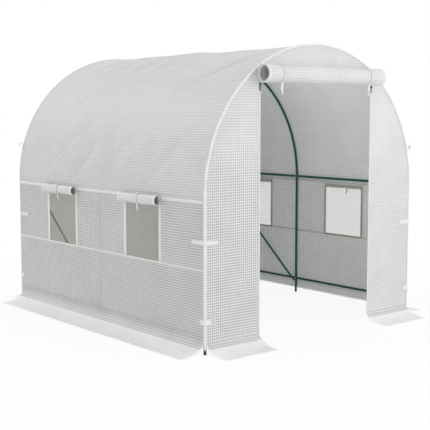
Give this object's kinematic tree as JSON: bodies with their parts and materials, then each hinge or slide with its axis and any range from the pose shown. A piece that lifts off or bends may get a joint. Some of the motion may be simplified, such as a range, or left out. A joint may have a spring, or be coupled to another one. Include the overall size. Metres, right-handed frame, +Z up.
{
  "type": "polytunnel greenhouse",
  "caption": "Walk-in tunnel greenhouse: round-roofed tube frame under a white grid-cloth cover, with a rolled-up door, screened side windows with rolled flaps, and ground skirts.",
  "frame": {"origin": "on the ground, under the middle of the tunnel", "axes": "+Z up, +Y along the tunnel from the door to the back, +X to the right as seen when walking in"},
  "size_m": [2.38, 2.78, 2.001],
  "materials": {
    "frame_paint": "dark green powder coat, satin",
    "grid_cloth": "white translucent film with a square grid of reinforcing threads",
    "white_tape": "white woven binding tape",
    "insect_screen": "fine see-through mesh",
    "zip_pull": "black"
  },
  "bodies": {
    "root": {"front_legs": "frame_paint", "middle_legs": "frame_paint", "rear_legs": "frame_paint", "front_bows": "frame_paint", "middle_bows": "frame_paint", "rear_bows": "frame_paint", "ridge_rails": "frame_paint", "left_side_rails": "frame_paint", "right_side_rails": "frame_paint", "left_bottom_rails": "frame_paint", "right_bottom_rails": "frame_paint", "diagonal_braces": "frame_paint", "roof_sheet": "grid_cloth", "left_window_band": "grid_cloth", "right_window_band": "grid_cloth", "left_lower_wall": "grid_cloth", "right_lower_wall": "grid_cloth", "left_skirt": "grid_cloth", "right_skirt": "grid_cloth", "front_left_panel": "grid_cloth", "front_right_panel": "grid_cloth", "front_gable": "grid_cloth", "front_skirts": "grid_cloth", "back_panel": "grid_cloth", "back_skirt": "grid_cloth", "left_window_screens": "insect_screen", "right_window_screens": "insect_screen", "left_window_bindings": "white_tape", "right_window_bindings": "white_tape", "left_window_rolls": "grid_cloth", "right_window_rolls": "grid_cloth", "left_window_ties": "white_tape", "right_window_ties": "white_tape", "left_seam_bands": "white_tape", "right_seam_bands": "white_tape", "door_roll": "grid_cloth", "door_ties": "white_tape", "door_zips": "white_tape", "zip_pulls": "zip_pull", "front_arch_hem": "white_tape", "back_arch_hem": "white_tape", "long_corner_straps": "white_tape", "short_corner_straps": "white_tape", "guy_loops": "white_tape"}
  },
  "joints": []
}
